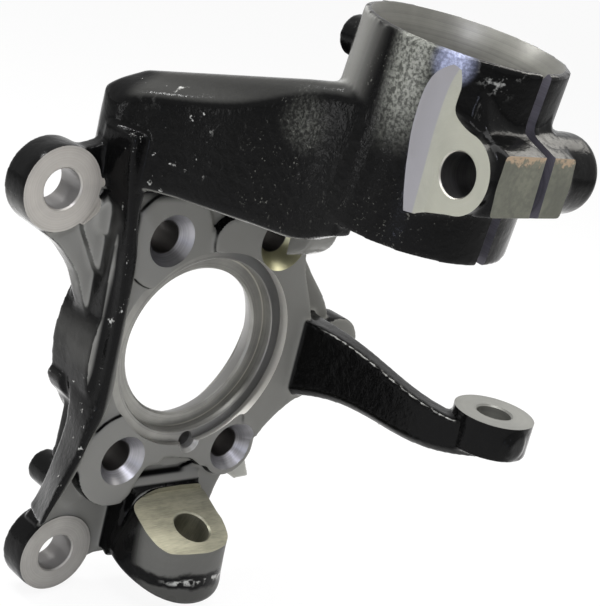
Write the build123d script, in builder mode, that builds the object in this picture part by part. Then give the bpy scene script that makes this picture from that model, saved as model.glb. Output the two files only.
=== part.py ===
"""Front suspension steering knuckle: one ductile-iron casting with machined seats.

Frame: origin at the centre of the hub bore, on its inboard rim. +X runs to the
steering-arm side (rear of the car), +Y outboard along the hub axis, +Z up.
All sizes are in millimetres.
"""
import os
from math import atan2, cos, degrees, radians, sin

from build123d import *

# ------------------------------------------------------------ hub carrier
RECESS_R = 37.0          # turned recess on the inboard rim
RECESS_Y = 5.0           # its floor
BORE_R = 31.0            # hub bore
BORE_END_R = 34.0        # relieved outboard end of the bore
BORE_END_Y = 13.2
SEAT_R = 44.6            # outboard recess for the wheel bearing
OUTBOARD_Y = 25.0        # machined outboard face
RING_WALL = 7.6          # cast ring round the bearing recess
RING_R = SEAT_R + RING_WALL
LAND_Y = -5.0            # raised inboard land on the steering-arm side
LAND_R = 41.4            # clearance turned in the land
WALL_T = 22.0            # plate thickness above the ring

# ------------------------------------------------------------ hub bolts
BOLT_GAP = 8.62          # from the bearing recess to the bolt circle
BOLT_ANGLE = 58.76       # degrees above the horizontal
BOLT_X = (SEAT_R + BOLT_GAP) * cos(radians(BOLT_ANGLE))
BOLT_Z = (SEAT_R + BOLT_GAP) * sin(radians(BOLT_ANGLE))
BOLT_R = 6.5
BOLT_SEAT_R = 10.4       # mouth of the conical seat on the pads
BOLT_SEAT_Y = 2.2        # its lower end
LOBE_R = 13.2
LOBE_Y = -2.8
PAD_R = 20.0             # flat round the bolts on the calliper side

SEAT_TAPER = degrees(atan2(BOLT_SEAT_R - BOLT_R, BOLT_SEAT_Y - LOBE_Y))
CUT_SPARE = 5.0          # by which drills and cutters run past a face

# ------------------------------------------------------------ calliper ears
EAR_TOP = (-73.6, 61.6)
EAR_LOW = (-42.4, -89.2)
EAR_HOLE_R = 7.6
EAR_FACE_R = 16.0
EAR_BODY_R = 16.4
EAR_Y = 7.4
EAR_T = 13.0
RIDGE_Y = -6.0           # crest of the ridge on the calliper side

# ------------------------------------------------------------ strut clamp
STRUT_X, STRUT_Y, STRUT_Z = 3.2, -88.8, 149.0    # top of the clamp on its axis
STRUT_LEAN = 5.0         # degrees, top towards the car
STRUT_R = 27.5
CLAMP_WALL = 8.0
CLAMP_TAPER = 0.5
CLAMP_TOP_R = STRUT_R + CLAMP_WALL
CLAMP_LOW_R = CLAMP_TOP_R + CLAMP_TAPER
CLAMP_H = 66.5
SLIT_X = 4.0
SLIT_W = 4.6

# ------------------------------------------------------------ pinch lugs
PINCH_GAP = 4.3          # from the strut bore to the axis of the pinch bolt
PINCH_Y = STRUT_Y - STRUT_R - PINCH_GAP
PINCH_Z = 111.5
PINCH_R = 7.25
PINCH_LUG_R = 13.0
PINCH_FACE_X = -22.0
PINCH_BLOCK_X = 17.5
PINCH_BLOCK_D = 13.6     # from the bolt's axis to the front of the block
PINCH_END_X = 35.0
SPOT_D = 13.0            # from the bolt's axis to the milled wall behind the spot face
SPOT_H = 17.0            # from the bolt's axis down to the end of the spot face

# ------------------------------------------------------------ steering arm
TIE_X, TIE_Y, TIE_Z = 81.7, -86.0, 4.5
TIE_R = 16.2
TIE_HOLE_R = 7.0
TIE_T = 14.5
TIE_NUT_R = 10.5         # nut seat under the ring
# y, near x, far x, near top z, far top z, bottom z
ARM_SECTIONS = (
    (14.0, 44.0, 74.0, 12.0, 10.0, -28.0),
    (-12.0, 51.0, 65.0, 11.2, 10.4, -20.5),
    (-36.0, 57.0, 68.5, 7.5, 6.2, -17.2),
    (-60.0, 60.7, 72.0, 2.2, 1.0, -18.0),
    (-80.0, 64.5, 78.0, 0.3, -0.6, -15.2),
    (-96.0, 72.0, 86.0, -1.0, -1.6, -11.2),
)

# ------------------------------------------------------------ ball-joint lug
BALL_Y, BALL_Z = -20.5, -69.0
BALL_TILT = 20.0         # degrees, seat turned towards the car
BALL_HOLE_R = 7.6
BALL_T = 27.5

# ------------------------------------------------------------ small bosses
SENSOR_X, SENSOR_Z = 4.4, -40.6
SENSOR_R = 3.5
SHIELD_X, SHIELD_Z = -40.2, -61.5
SHIELD_R = 7.2
SHIELD_END_Y = 30.0
SHIELD_HOLE_R = 2.6
KNOB_X, KNOB_Z = -9.6, 138.4
KNOB_R = 7.3


def at_y(y: float) -> Plane:
    """Sketch plane at Y = y with local x = +X and local y = +Z, facing inboard."""
    return Plane.XZ.offset(-y)


def across(x: float) -> Plane:
    """Sketch plane at X = x on the pinch bolt's axis, local x = +Y and local y = +Z."""
    return Plane(origin=(x, PINCH_Y, PINCH_Z), x_dir=(0, 1, 0), z_dir=(1, 0, 0))


def tilted(x: float, y: float, z: float, lean: float) -> Plane:
    """Sketch plane whose normal leans from +Z towards the car by lean degrees."""
    return Plane(origin=(x, y, z), x_dir=(1, 0, 0), z_dir=(0, -sin(radians(lean)), cos(radians(lean))))


# ------------------------------------------------------------ carrier: ring, lobes and walls
with BuildPart() as carrier:
    with BuildSketch(at_y(0)):
        Circle(RING_R)
    extrude(amount=-OUTBOARD_Y)
    with BuildSketch(at_y(0)):
        with GridLocations(2 * BOLT_X, 2 * BOLT_Z, 2, 2):
            Circle(LOBE_R)
    extrude(amount=-OUTBOARD_Y)
    # wall up to the clamp arm
    with BuildSketch(at_y(0)):
        with BuildLine():
            Line((-50, 8), (-53, 60))
            Line((-53, 60), (-54, 90))
            Line((-54, 90), (37, 90))
            Spline((37, 90), (39, 60), (44, 44), (50, 28), (50, 8))
            Line((50, 8), (-50, 8))
        make_face()
    extrude(amount=-WALL_T)
    # wall below the bore, set back between the two lower lobes
    with BuildSketch(at_y(4)):
        with BuildLine():
            Polyline((-44, -14), (-44, -34), (-45, -52), (-36, -64), (-16, -64), (26, -58), (38, -54), (46, -34),
                     (50, -8), close=True)
        make_face()
    extrude(amount=-(WALL_T - 6))
    # web from the lower rear lobe to the ball-joint lug
    with BuildSketch(at_y(1)):
        with BuildLine():
            Line((8, -54), (34, -50))
            Spline((34, -50), (31, -60), (28.8, -66), (27.6, -72), (21, -80))
            Line((21, -80), (4, -84))
            Line((4, -84), (8, -54))
        make_face()
    extrude(amount=-15)

# flats round the bolts, joined below the bore and wider on the calliper side
with BuildPart() as pads:
    with BuildSketch(at_y(LOBE_Y)):
        with Locations((-BOLT_X, BOLT_Z), (-BOLT_X, -BOLT_Z)):
            Circle(PAD_R)
        with BuildLine():
            Polyline((-14.4, -49.6), (-19, -58), (-30, -76), (8, -76), (8, -49.6), close=True)
        make_face(mode=Mode.SUBTRACT)
        with GridLocations(2 * BOLT_X, 2 * BOLT_Z, 2, 2):
            Circle(LOBE_R)
        with BuildLine():
            Polyline((-BOLT_X, -28), (-14.4, -49.6), (-11.1, -47.4), (-4.2, -46.9), (8.5, -49), (13.8, -53),
                     (BOLT_X, -55), (34, -36), (BOLT_X, -26), close=True)
        make_face()
    extrude(amount=-8)
    fillet(pads.edges().group_by(Axis.Y)[0].filter_by_position(Axis.Z, 0, 2 * BOLT_Z), 1.2)

# ------------------------------------------------------------ ridge down the calliper side
with BuildPart() as ridge:
    with BuildSketch(at_y(RIDGE_Y)):
        with BuildLine():
            outer = Spline((-57.5, 86), (-56, 72), (-53, 60), (-50.5, 48), (-49.3, 36), (-48.2, 24), (-47.6, 10),
                           (-47.2, -4), (-47.6, -14), (-49.8, -24), (-52, -33), (-54, -42), (-58, -51), (-61.3, -60),
                           (-63.5, -68))
            inner = Spline((-61, -66), (-57.5, -58), (-53, -50), (-50.2, -42), (-48.5, -34), (-45.3, -26),
                           (-42.6, -18), (-42.2, -10), (-42.8, 0), (-43.4, 14), (-43.8, 28), (-44.4, 38), (-46.2, 47),
                           (-48.2, 57), (-47, 70), (-49, 86))
            Line(outer @ 1, inner @ 0)
            Line(inner @ 1, outer @ 0)
        make_face()
    with BuildSketch(at_y(12)):
        with BuildLine():
            outer = Spline((-58, 86), (-57, 72), (-55, 60), (-52.5, 48), (-50.5, 36), (-49.3, 24), (-49, 10),
                           (-49.3, -4), (-50, -14), (-48.6, -24), (-47.8, -33), (-48.7, -42), (-50.6, -51),
                           (-52.8, -60), (-56.5, -68))
            inner = Spline((-52, -74), (-46, -64), (-42, -52), (-38, -42), (-36, -34), (-36, -26), (-37, -18),
                           (-38, -10), (-38, 0), (-38, 14), (-38, 28), (-38, 38), (-39, 47), (-40, 57), (-41, 70),
                           (-42, 86))
            Line(outer @ 1, inner @ 0)
            Line(inner @ 1, outer @ 0)
        make_face()
    loft()

# ------------------------------------------------------------ raised land and rear web
with BuildPart() as land:
    with BuildSketch(at_y(LAND_Y)):
        with BuildLine():
            Spline((-5.5, 38), (-4, 54), (10, 57), (28, 58), (40, 47), (42.5, 36), (47, 26), (51.5, 17), (55, 6),
                   (57, -8), (61, -20), (60, -24.6))
            Spline((60, -24.6), (55.3, -25.8), (50.8, -28.7), (45.5, -33.1), (41.6, -37.5), (38, -44), (37, -52))
            Line((37, -52), (30, -40))
            Line((30, -40), (29.5, -28))
            Line((29.5, -28), (-5.5, 38))
        make_face()
    extrude(amount=-20)
    with BuildSketch(at_y(6)):
        with BuildLine():
            Spline((44, 46), (51.6, 36), (59.6, 26.6), (67.6, 18.2), (73.5, 10), (76, -4), (68, -20), (56, -34),
                   (44, -44))
            Line((44, -44), (30, -30))
            Line((30, -30), (30, 30))
            Line((30, 30), (44, 46))
        make_face()
    extrude(amount=-14)

# ------------------------------------------------------------ calliper ears and their webs
with BuildPart() as ears:
    with BuildSketch(at_y(EAR_Y)):
        with Locations(EAR_TOP, EAR_LOW):
            Circle(EAR_FACE_R)
    extrude(amount=-2)
    with BuildSketch(at_y(EAR_Y + 1)):
        with Locations(EAR_TOP, EAR_LOW):
            Circle(EAR_BODY_R)
    extrude(amount=-(EAR_T - 1))
    # upper web
    with BuildSketch(at_y(EAR_Y + 2)):
        with BuildLine():
            Spline((-83, 48.2), (-74.6, 43.2), (-68.5, 39.3), (-62.9, 33.8), (-58.5, 28.3), (-55.6, 22.5), (-51, 13),
                   (-46.5, 3))
            Line((-46.5, 3), (-40, -4))
            Line((-40, -4), (-40, 82))
            Line((-40, 82), (-55, 80))
            Spline((-55, 80), (-64, 76.6), (-75, 76.8))
            Line((-75, 76.8), (-83, 48.2))
        make_face()
    extrude(amount=-(EAR_T - 5.4))
    # raised triangular panel and round pad of the upper web
    with BuildSketch(at_y(6.2)):
        with BuildLine():
            Polyline((-62.5, 47.6), (-61, 49.8), (-52, 66), (-44, 66), (-44, 28), (-49, 27.4), (-53, 31.4), close=True)
        make_face()
        fillet(vertices().sort_by(Axis.X)[:2], 1.4)
    extrude(amount=-8)
    with BuildSketch(at_y(4.6)):
        with Locations((-51.6, 52)):
            Circle(6.8)
    extrude(amount=-6)
    # lower web
    with BuildSketch(at_y(EAR_Y + 1)):
        with BuildLine():
            Spline((-54, -76), (-48, -64), (-45, -50), (-43, -34))
            Line((-43, -34), (-14, -48))
            Line((-14, -48), (-12, -76))
            Spline((-12, -76), (-13.5, -93.5), (-19, -93.4), (-27, -95))
            Line((-27, -95), (-54, -76))
        make_face()
    extrude(amount=-(EAR_T - 4))
    with BuildSketch(at_y(EAR_Y)):
        with Locations((SHIELD_X, SHIELD_Z)):
            Circle(SHIELD_R)
    extrude(amount=-3)

# ------------------------------------------------------------ strut clamp with its pinch lugs
clamp_top = tilted(STRUT_X, STRUT_Y, STRUT_Z, STRUT_LEAN)
with BuildPart() as clamp:
    with BuildSketch(clamp_top):
        Circle(CLAMP_TOP_R)
    with BuildSketch(clamp_top.offset(-CLAMP_H)):
        Circle(CLAMP_LOW_R)
    loft()
    # lug round the spot face, up to the block
    with BuildSketch(across(PINCH_FACE_X)):
        with BuildLine():
            Spline((20.6, 34.5), (10.6, 27.5), (10.1, 20.5), (5.4, 16.1), (-0.4, 13.7))
            ThreePointArc((-0.4, 13.7), (-PINCH_LUG_R, 1), (-0.4, -PINCH_LUG_R))
            Line((-0.4, -PINCH_LUG_R), (20.6, -18.5))
            Line((20.6, -18.5), (20.6, 34.5))
        make_face()
    extrude(amount=10)
    # flat-fronted block across the slit, bevelled back to the clamp
    with BuildSketch(across(PINCH_FACE_X + 5)):
        with BuildLine():
            Spline((20.6, 26.5), (-0.4, 19), (-2.6, 15.3), (-8.4, 12.7), (-PINCH_BLOCK_D, 10.5))
            Line((-PINCH_BLOCK_D, 10.5), (-PINCH_BLOCK_D, -7.5))
            Line((-PINCH_BLOCK_D, -7.5), (-7.4, -11.1))
            Line((-7.4, -11.1), (20.6, -17.5))
            Line((20.6, -17.5), (20.6, 26.5))
        make_face()
    extrude(amount=PINCH_BLOCK_X - PINCH_FACE_X - 5)
    # round boss behind the clamp
    with BuildSketch(at_y(-50)):
        with Locations((KNOB_X, KNOB_Z)):
            Circle(KNOB_R)
    extrude(amount=20)

# round end of the block
with BuildPart() as pinch_end:
    with BuildSketch(across(PINCH_BLOCK_X - 8)):
        with Locations((0.6, 1.8)):
            Circle(PINCH_LUG_R + 0.8)
    extrude(amount=PINCH_END_X - PINCH_BLOCK_X + 8)
    fillet(pinch_end.edges().sort_by(Axis.X)[-1], 4)

# ------------------------------------------------------------ arm from the carrier to the clamp
with BuildPart() as arm:
    with BuildSketch(Plane.YZ.offset(-70)):
        with BuildLine():
            Polyline((24, 62), (24, 94.5), (14, 105.2), (-16, 112.8), (-54, 122.4), (-75, 127.2), (-90, 127.6), (-90, 80),
                     (-80, 76), (-72, 72), (-66, 70.4), (-45, 69.4), (-20, 68), (-4, 66.4), (4, 62), close=True)
        make_face()
    extrude(amount=120)
    with BuildSketch(Plane.XY.offset(40)):
        with BuildLine():
            Spline((-51, 24), (-55.4, 19), (-57, 11), (-53.6, -1), (-50, -10), (-42, -38), (-35, -64), (-32.4, -86))
            Line((-32.4, -86), (38, -86))
            Line((38, -86), (38, 24))
            Line((38, 24), (-51, 24))
        make_face()
    extrude(amount=100, mode=Mode.INTERSECT)
    with BuildSketch(at_y(-100)):
        with BuildLine():
            Line((-62, 40), (-58, 88))
            Spline((-58, 88), (-56.6, 95), (-52.6, 100.6), (-45.5, 105), (-36, 118), (-26, 130))
            Line((-26, 130), (40, 130))
            Line((40, 130), (40, 40))
            Line((40, 40), (-62, 40))
        make_face()
    extrude(amount=-130, mode=Mode.INTERSECT)
    # rounded crest and lip of the side that faces the calliper
    side = arm.edges().filter_by_position(Axis.X, -70, -30)
    fillet(side.filter_by_position(Axis.Z, 101.5, 130).filter_by_position(Axis.Y, -80, 18), 5)
    side = arm.edges().filter_by_position(Axis.X, -70, -30)
    fillet(side.filter_by_position(Axis.Z, 60, 72).filter_by_position(Axis.Y, -60, 30), 2)

# gusset below the arm on the steering side
with BuildPart() as gusset:
    with BuildSketch(Plane.YZ.offset(24)):
        with BuildLine():
            Line((6, 34), (-5, 40))
            Spline((-5, 40), (-14, 44), (-21, 50), (-23, 58), (-30, 72))
            Line((-30, 72), (6, 72))
            Line((6, 72), (6, 34))
        make_face()
    extrude(amount=14)

# ------------------------------------------------------------ steering arm
with BuildPart() as steering:
    for y, near, far, top, far_top, low in ARM_SECTIONS:
        with BuildSketch(at_y(y)):
            with BuildLine():
                Polyline((near, low + 3.5), (near, top), (far - 2, far_top), (far, far_top - 2.5), (far, low + 2),
                         (near + 3.5, low), close=True)
            make_face()
    loft()
    with BuildSketch(Plane.XY.offset(TIE_Z)):
        with Locations((TIE_X, TIE_Y)):
            Circle(TIE_R)
    extrude(amount=-TIE_T)
    # round nub on the end of the arm
    with BuildSketch(at_y(-94)):
        with Locations((78.9, -2.9)):
            Circle(5.2)
    extrude(amount=9)
    # boss behind the root of the arm
    with BuildSketch(at_y(2)):
        with Locations((79, -5.5)):
            Circle(13.2)
    extrude(amount=-13)

# ------------------------------------------------------------ ball-joint lug
ball_top = tilted(0, BALL_Y, BALL_Z, BALL_TILT)
with BuildPart() as ball_lug:
    with BuildSketch(ball_top):
        with BuildLine():
            Spline((-22.1, 8.2), (-20, 15), (-13.3, 18.5), (-5.6, 21), (6, 23), (15, 22))
            Line((15, 22), (17.1, 15.8))
            Line((17.1, 15.8), (16.3, 5.7))
            Spline((16.3, 5.7), (13.7, -7.6), (9.6, -11.5), (-0.5, -13.7), (-11.6, -12.5), (-18.2, -10.8), (-21.3, -6.4),
                   (-22.5, 1.1), (-22.1, 8.2))
        make_face()
    with BuildSketch(ball_top.offset(-BALL_T)):
        with BuildLine():
            Spline((-21.5, 10), (-19, 17), (-13, 20.5), (-5.6, 22.5), (6, 24), (15, 22))
            Line((15, 22), (21, 14))
            Line((21, 14), (21.8, -6))
            Spline((21.8, -6), (17.6, -16), (11, -19.6), (3.5, -20.6), (-6, -18), (-13, -11.5), (-17, -5), (-20, 2),
                   (-21.5, 10))
        make_face()
    loft()
    fillet(ball_lug.faces().sort_by(Axis.Z)[0].edges(), 4)
    # neck up to the carrier
    with BuildSketch(Plane.YZ.offset(-21)):
        with BuildLine():
            Polyline((16, -48), (0, -56), (-2.2, -60.4), (-1.8, -66), (2, -92), (18, -86), close=True)
        make_face()
    extrude(amount=37)

# ------------------------------------------------------------ outboard bosses
with BuildPart() as bosses:
    # splash-shield boss
    with BuildSketch(at_y(8)):
        with Locations((SHIELD_X, SHIELD_Z)):
            Circle(SHIELD_R)
    extrude(amount=-(SHIELD_END_Y - 8))
    # square lug on the ring
    with BuildSketch(at_y(16)):
        with BuildLine():
            Polyline((-44, -12), (-51.1, -15.7), (-51.6, -18.4), (-49.1, -22.6), (-43.9, -27.3), (-38, -32), (-36, -12),
                     close=True)
        make_face()
    extrude(amount=-9)
    # foot behind the lower rear lobe
    with BuildSketch(at_y(14)):
        with BuildLine():
            Polyline((36, -50), (53, -58), (60, -71.6), (52, -72), (30, -58), close=True)
        make_face()
    extrude(amount=-11)

# ------------------------------------------------------------ one casting, then the machining
with BuildPart() as knuckle:
    add(carrier.part)
    add(pads.part)
    add(ridge.part)
    add(land.part)
    add(ears.part)
    add(arm.part)
    add(gusset.part)
    add(clamp.part)
    add(pinch_end.part)
    add(steering.part)
    add(ball_lug.part)
    add(bosses.part)

    # turned profile of the hub: land clearance, recess, bore and outboard bearing recess
    with BuildSketch(Plane.XY):
        with BuildLine():
            Polyline((0, -30), (LAND_R, -30), (LAND_R, 0), (RECESS_R, 0), (RECESS_R, RECESS_Y),
                     (BORE_R + 0.8, RECESS_Y), (BORE_R, RECESS_Y + 0.8), (BORE_R, RECESS_Y + 2),
                     (BORE_END_R, BORE_END_Y), (SEAT_R, BORE_END_Y), (SEAT_R, OUTBOARD_Y - 1),
                     (SEAT_R + 1, OUTBOARD_Y), (SEAT_R + 1, 40), (0, 40), close=True)
        make_face()
    revolve(axis=Axis.Y, mode=Mode.SUBTRACT)

    # bolt holes with their conical seats
    with BuildSketch(at_y(BOLT_SEAT_Y)):
        with GridLocations(2 * BOLT_X, 2 * BOLT_Z, 2, 2):
            Circle(BOLT_R)
    extrude(amount=BOLT_SEAT_Y - LAND_Y + CUT_SPARE, taper=-SEAT_TAPER, mode=Mode.SUBTRACT)
    with BuildSketch(at_y(LAND_Y - CUT_SPARE)):
        with GridLocations(2 * BOLT_X, 2 * BOLT_Z, 2, 2):
            Circle(BOLT_R)
    extrude(amount=-OUTBOARD_Y - 3 * CUT_SPARE, mode=Mode.SUBTRACT)

    # calliper holes
    with BuildSketch(at_y(-30)):
        with Locations(EAR_TOP, EAR_LOW):
            Circle(EAR_HOLE_R)
    extrude(amount=-80, mode=Mode.SUBTRACT)

    # strut bore and clamp slit
    with BuildSketch(clamp_top.offset(CUT_SPARE)):
        Circle(STRUT_R)
    extrude(amount=-CLAMP_H - 4 * CUT_SPARE, mode=Mode.SUBTRACT)
    with BuildSketch(clamp_top.offset(-CLAMP_H / 2)):
        with Locations((SLIT_X - STRUT_X, -CLAMP_TOP_R)):
            Rectangle(SLIT_W, 2 * CLAMP_TOP_R - STRUT_R)
    extrude(amount=CLAMP_H, both=True, mode=Mode.SUBTRACT)

    # spot face and pinch-bolt hole
    with BuildSketch(across(PINCH_FACE_X)):
        with BuildLine():
            Spline((SPOT_D, -SPOT_H), (SPOT_D, -1.5), (SPOT_D, 12.5), (SPOT_D - 1.6, 26.5), (SPOT_D - 7, 38.5))
            Line((SPOT_D - 7, 38.5), (-2 * PINCH_LUG_R, 38.5))
            Line((-2 * PINCH_LUG_R, 38.5), (-2 * PINCH_LUG_R, -SPOT_H))
            Line((-2 * PINCH_LUG_R, -SPOT_H), (SPOT_D, -SPOT_H))
        make_face()
    extrude(amount=-CLAMP_LOW_R, mode=Mode.SUBTRACT)
    with BuildSketch(across(PINCH_FACE_X)):
        Circle(PINCH_R)
    extrude(amount=PINCH_END_X - PINCH_FACE_X + CUT_SPARE, mode=Mode.SUBTRACT)

    # tie-rod hole with its nut seat, and ball-joint hole
    with BuildSketch(Plane.XY.offset(TIE_Z + CUT_SPARE)):
        with Locations((TIE_X, TIE_Y)):
            Circle(TIE_HOLE_R)
    extrude(amount=-TIE_T - 4 * CUT_SPARE, mode=Mode.SUBTRACT)
    with BuildSketch(Plane.XY.offset(TIE_Z - TIE_T)):
        with Locations((TIE_X, TIE_Y)):
            Circle(TIE_NUT_R)
    extrude(amount=-4 * CUT_SPARE, mode=Mode.SUBTRACT)
    with BuildSketch(ball_top.offset(CUT_SPARE)):
        Circle(BALL_HOLE_R)
    extrude(amount=-BALL_T - 4 * CUT_SPARE, mode=Mode.SUBTRACT)

    # sensor hole and splash-shield screw hole
    with BuildSketch(at_y(LOBE_Y - CUT_SPARE)):
        with Locations((SENSOR_X, SENSOR_Z)):
            Circle(SENSOR_R)
    extrude(amount=-OUTBOARD_Y - 2 * CUT_SPARE, mode=Mode.SUBTRACT)
    with BuildSketch(at_y(SHIELD_END_Y)):
        with Locations((SHIELD_X, SHIELD_Z)):
            Circle(SHIELD_HOLE_R)
    extrude(amount=14, mode=Mode.SUBTRACT)

knuckle.part.label = "steering_knuckle"
os.makedirs("parts", exist_ok=True)
export_step(knuckle.part, "parts/steering_knuckle.step")
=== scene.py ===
"""Steering knuckle, dressed for its portrait.

The frame's casting gives the form. Its holes are stopped and its machined faces get
some stock back, the whole is rounded as a sand casting is, and the cutters then
machine the bores, seats and faces out of it. Everything is in metres, with the
origin at the centre of the hub bore on its inboard rim, +X to the steering arm,
+Y outboard and +Z up.
"""

import logging
from dataclasses import dataclass, field
from enum import Enum
from math import atan, cos, pi, radians, sin, tau

import bmesh
import bpy
from mathutils import Matrix, Vector


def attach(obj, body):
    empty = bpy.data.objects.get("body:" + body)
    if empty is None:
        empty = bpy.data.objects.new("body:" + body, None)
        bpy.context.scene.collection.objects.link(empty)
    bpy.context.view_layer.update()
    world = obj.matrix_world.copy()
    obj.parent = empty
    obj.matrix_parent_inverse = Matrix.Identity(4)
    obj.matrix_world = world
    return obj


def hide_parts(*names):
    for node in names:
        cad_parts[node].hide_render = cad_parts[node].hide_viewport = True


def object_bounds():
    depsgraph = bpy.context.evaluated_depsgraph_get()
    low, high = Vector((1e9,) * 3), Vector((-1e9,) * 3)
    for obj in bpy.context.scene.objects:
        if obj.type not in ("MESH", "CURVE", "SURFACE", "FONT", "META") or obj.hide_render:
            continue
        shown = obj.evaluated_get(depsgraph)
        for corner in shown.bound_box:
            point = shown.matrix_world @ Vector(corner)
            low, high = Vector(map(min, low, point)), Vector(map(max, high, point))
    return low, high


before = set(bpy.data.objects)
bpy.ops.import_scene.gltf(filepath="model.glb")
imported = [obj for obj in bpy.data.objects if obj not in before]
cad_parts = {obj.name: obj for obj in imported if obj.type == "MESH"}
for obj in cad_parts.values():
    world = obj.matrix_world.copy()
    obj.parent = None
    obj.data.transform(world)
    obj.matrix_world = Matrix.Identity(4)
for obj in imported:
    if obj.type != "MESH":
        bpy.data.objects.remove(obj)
CAD_BOX = [list(corner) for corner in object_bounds()]

LOG = logging.getLogger("knuckle")
MM = 0.001
NODE = "steering_knuckle"
BODY = "root"

Point = tuple[float, float]
Spot = tuple[float, float, float]


class Finish(Enum):
    """Material slots of the casting, in the order of their index."""

    PAINT = 0
    HUB = 1
    SEAT = 2
    EAR_TOP = 3
    EAR_LOW = 4
    STRUT = 5
    SPOT = 6
    PINCH = 7
    TIE = 8
    BALL = 9
    DRILLED = 10
    SAWN = 11
    BLOCK = 12


class Lay(Enum):
    """Direction of the tool marks on a machined surface."""

    TURNED = "turned"
    MILLED = "milled"


# ---------------------------------------------------------------- shader maths
class Value:
    """A node socket on which Python arithmetic adds Math nodes."""

    def __init__(self, board: "Board", socket: bpy.types.NodeSocket) -> None:
        """Keep the board and the socket."""
        self.board = board
        self.socket = socket

    def _math(self, operation: str, *operands: "Value | float", clamp: bool = False) -> "Value":
        """Add a Math node.

        Args:
            operation: The Math node's operation.
            operands: Its inputs in order.
            clamp: Whether the result is kept within 0 and 1.

        Returns:
            The node's result.
        """
        node = self.board.node("ShaderNodeMath", {"operation": operation, "use_clamp": clamp},
                               dict(enumerate(operands)))
        return self.board.out(node)

    def __add__(self, other: "Value | float") -> "Value":
        """Sum."""
        return self._math("ADD", self, other)

    def __radd__(self, other: float) -> "Value":
        """Sum with a number on the left."""
        return self._math("ADD", other, self)

    def __sub__(self, other: "Value | float") -> "Value":
        """Difference."""
        return self._math("SUBTRACT", self, other)

    def __rsub__(self, other: float) -> "Value":
        """Difference from a number."""
        return self._math("SUBTRACT", other, self)

    def __mul__(self, other: "Value | float") -> "Value":
        """Product."""
        return self._math("MULTIPLY", self, other)

    def __rmul__(self, other: float) -> "Value":
        """Product with a number on the left."""
        return self._math("MULTIPLY", other, self)

    def __truediv__(self, other: "Value | float") -> "Value":
        """Quotient."""
        return self._math("DIVIDE", self, other)

    def __pow__(self, other: float) -> "Value":
        """Power."""
        return self._math("POWER", self, other)

    def __abs__(self) -> "Value":
        """Absolute value."""
        return self._math("ABSOLUTE", self)

    def above(self, least: float) -> "Value":
        """The value, or least where it is smaller."""
        return self._math("MAXIMUM", self, least)

    def below(self, most: float) -> "Value":
        """The value, or most where it is larger."""
        return self._math("MINIMUM", self, most)

    def band(self, low: float, high: float) -> "Value":
        """Ramp from 0 at low to 1 at high, clamped."""
        return self.board.out(self.board.node("ShaderNodeMapRange", {"clamp": True, "interpolation_type": "SMOOTHSTEP"},
                                              {"Value": self, "From Min": low, "From Max": high}))


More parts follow.
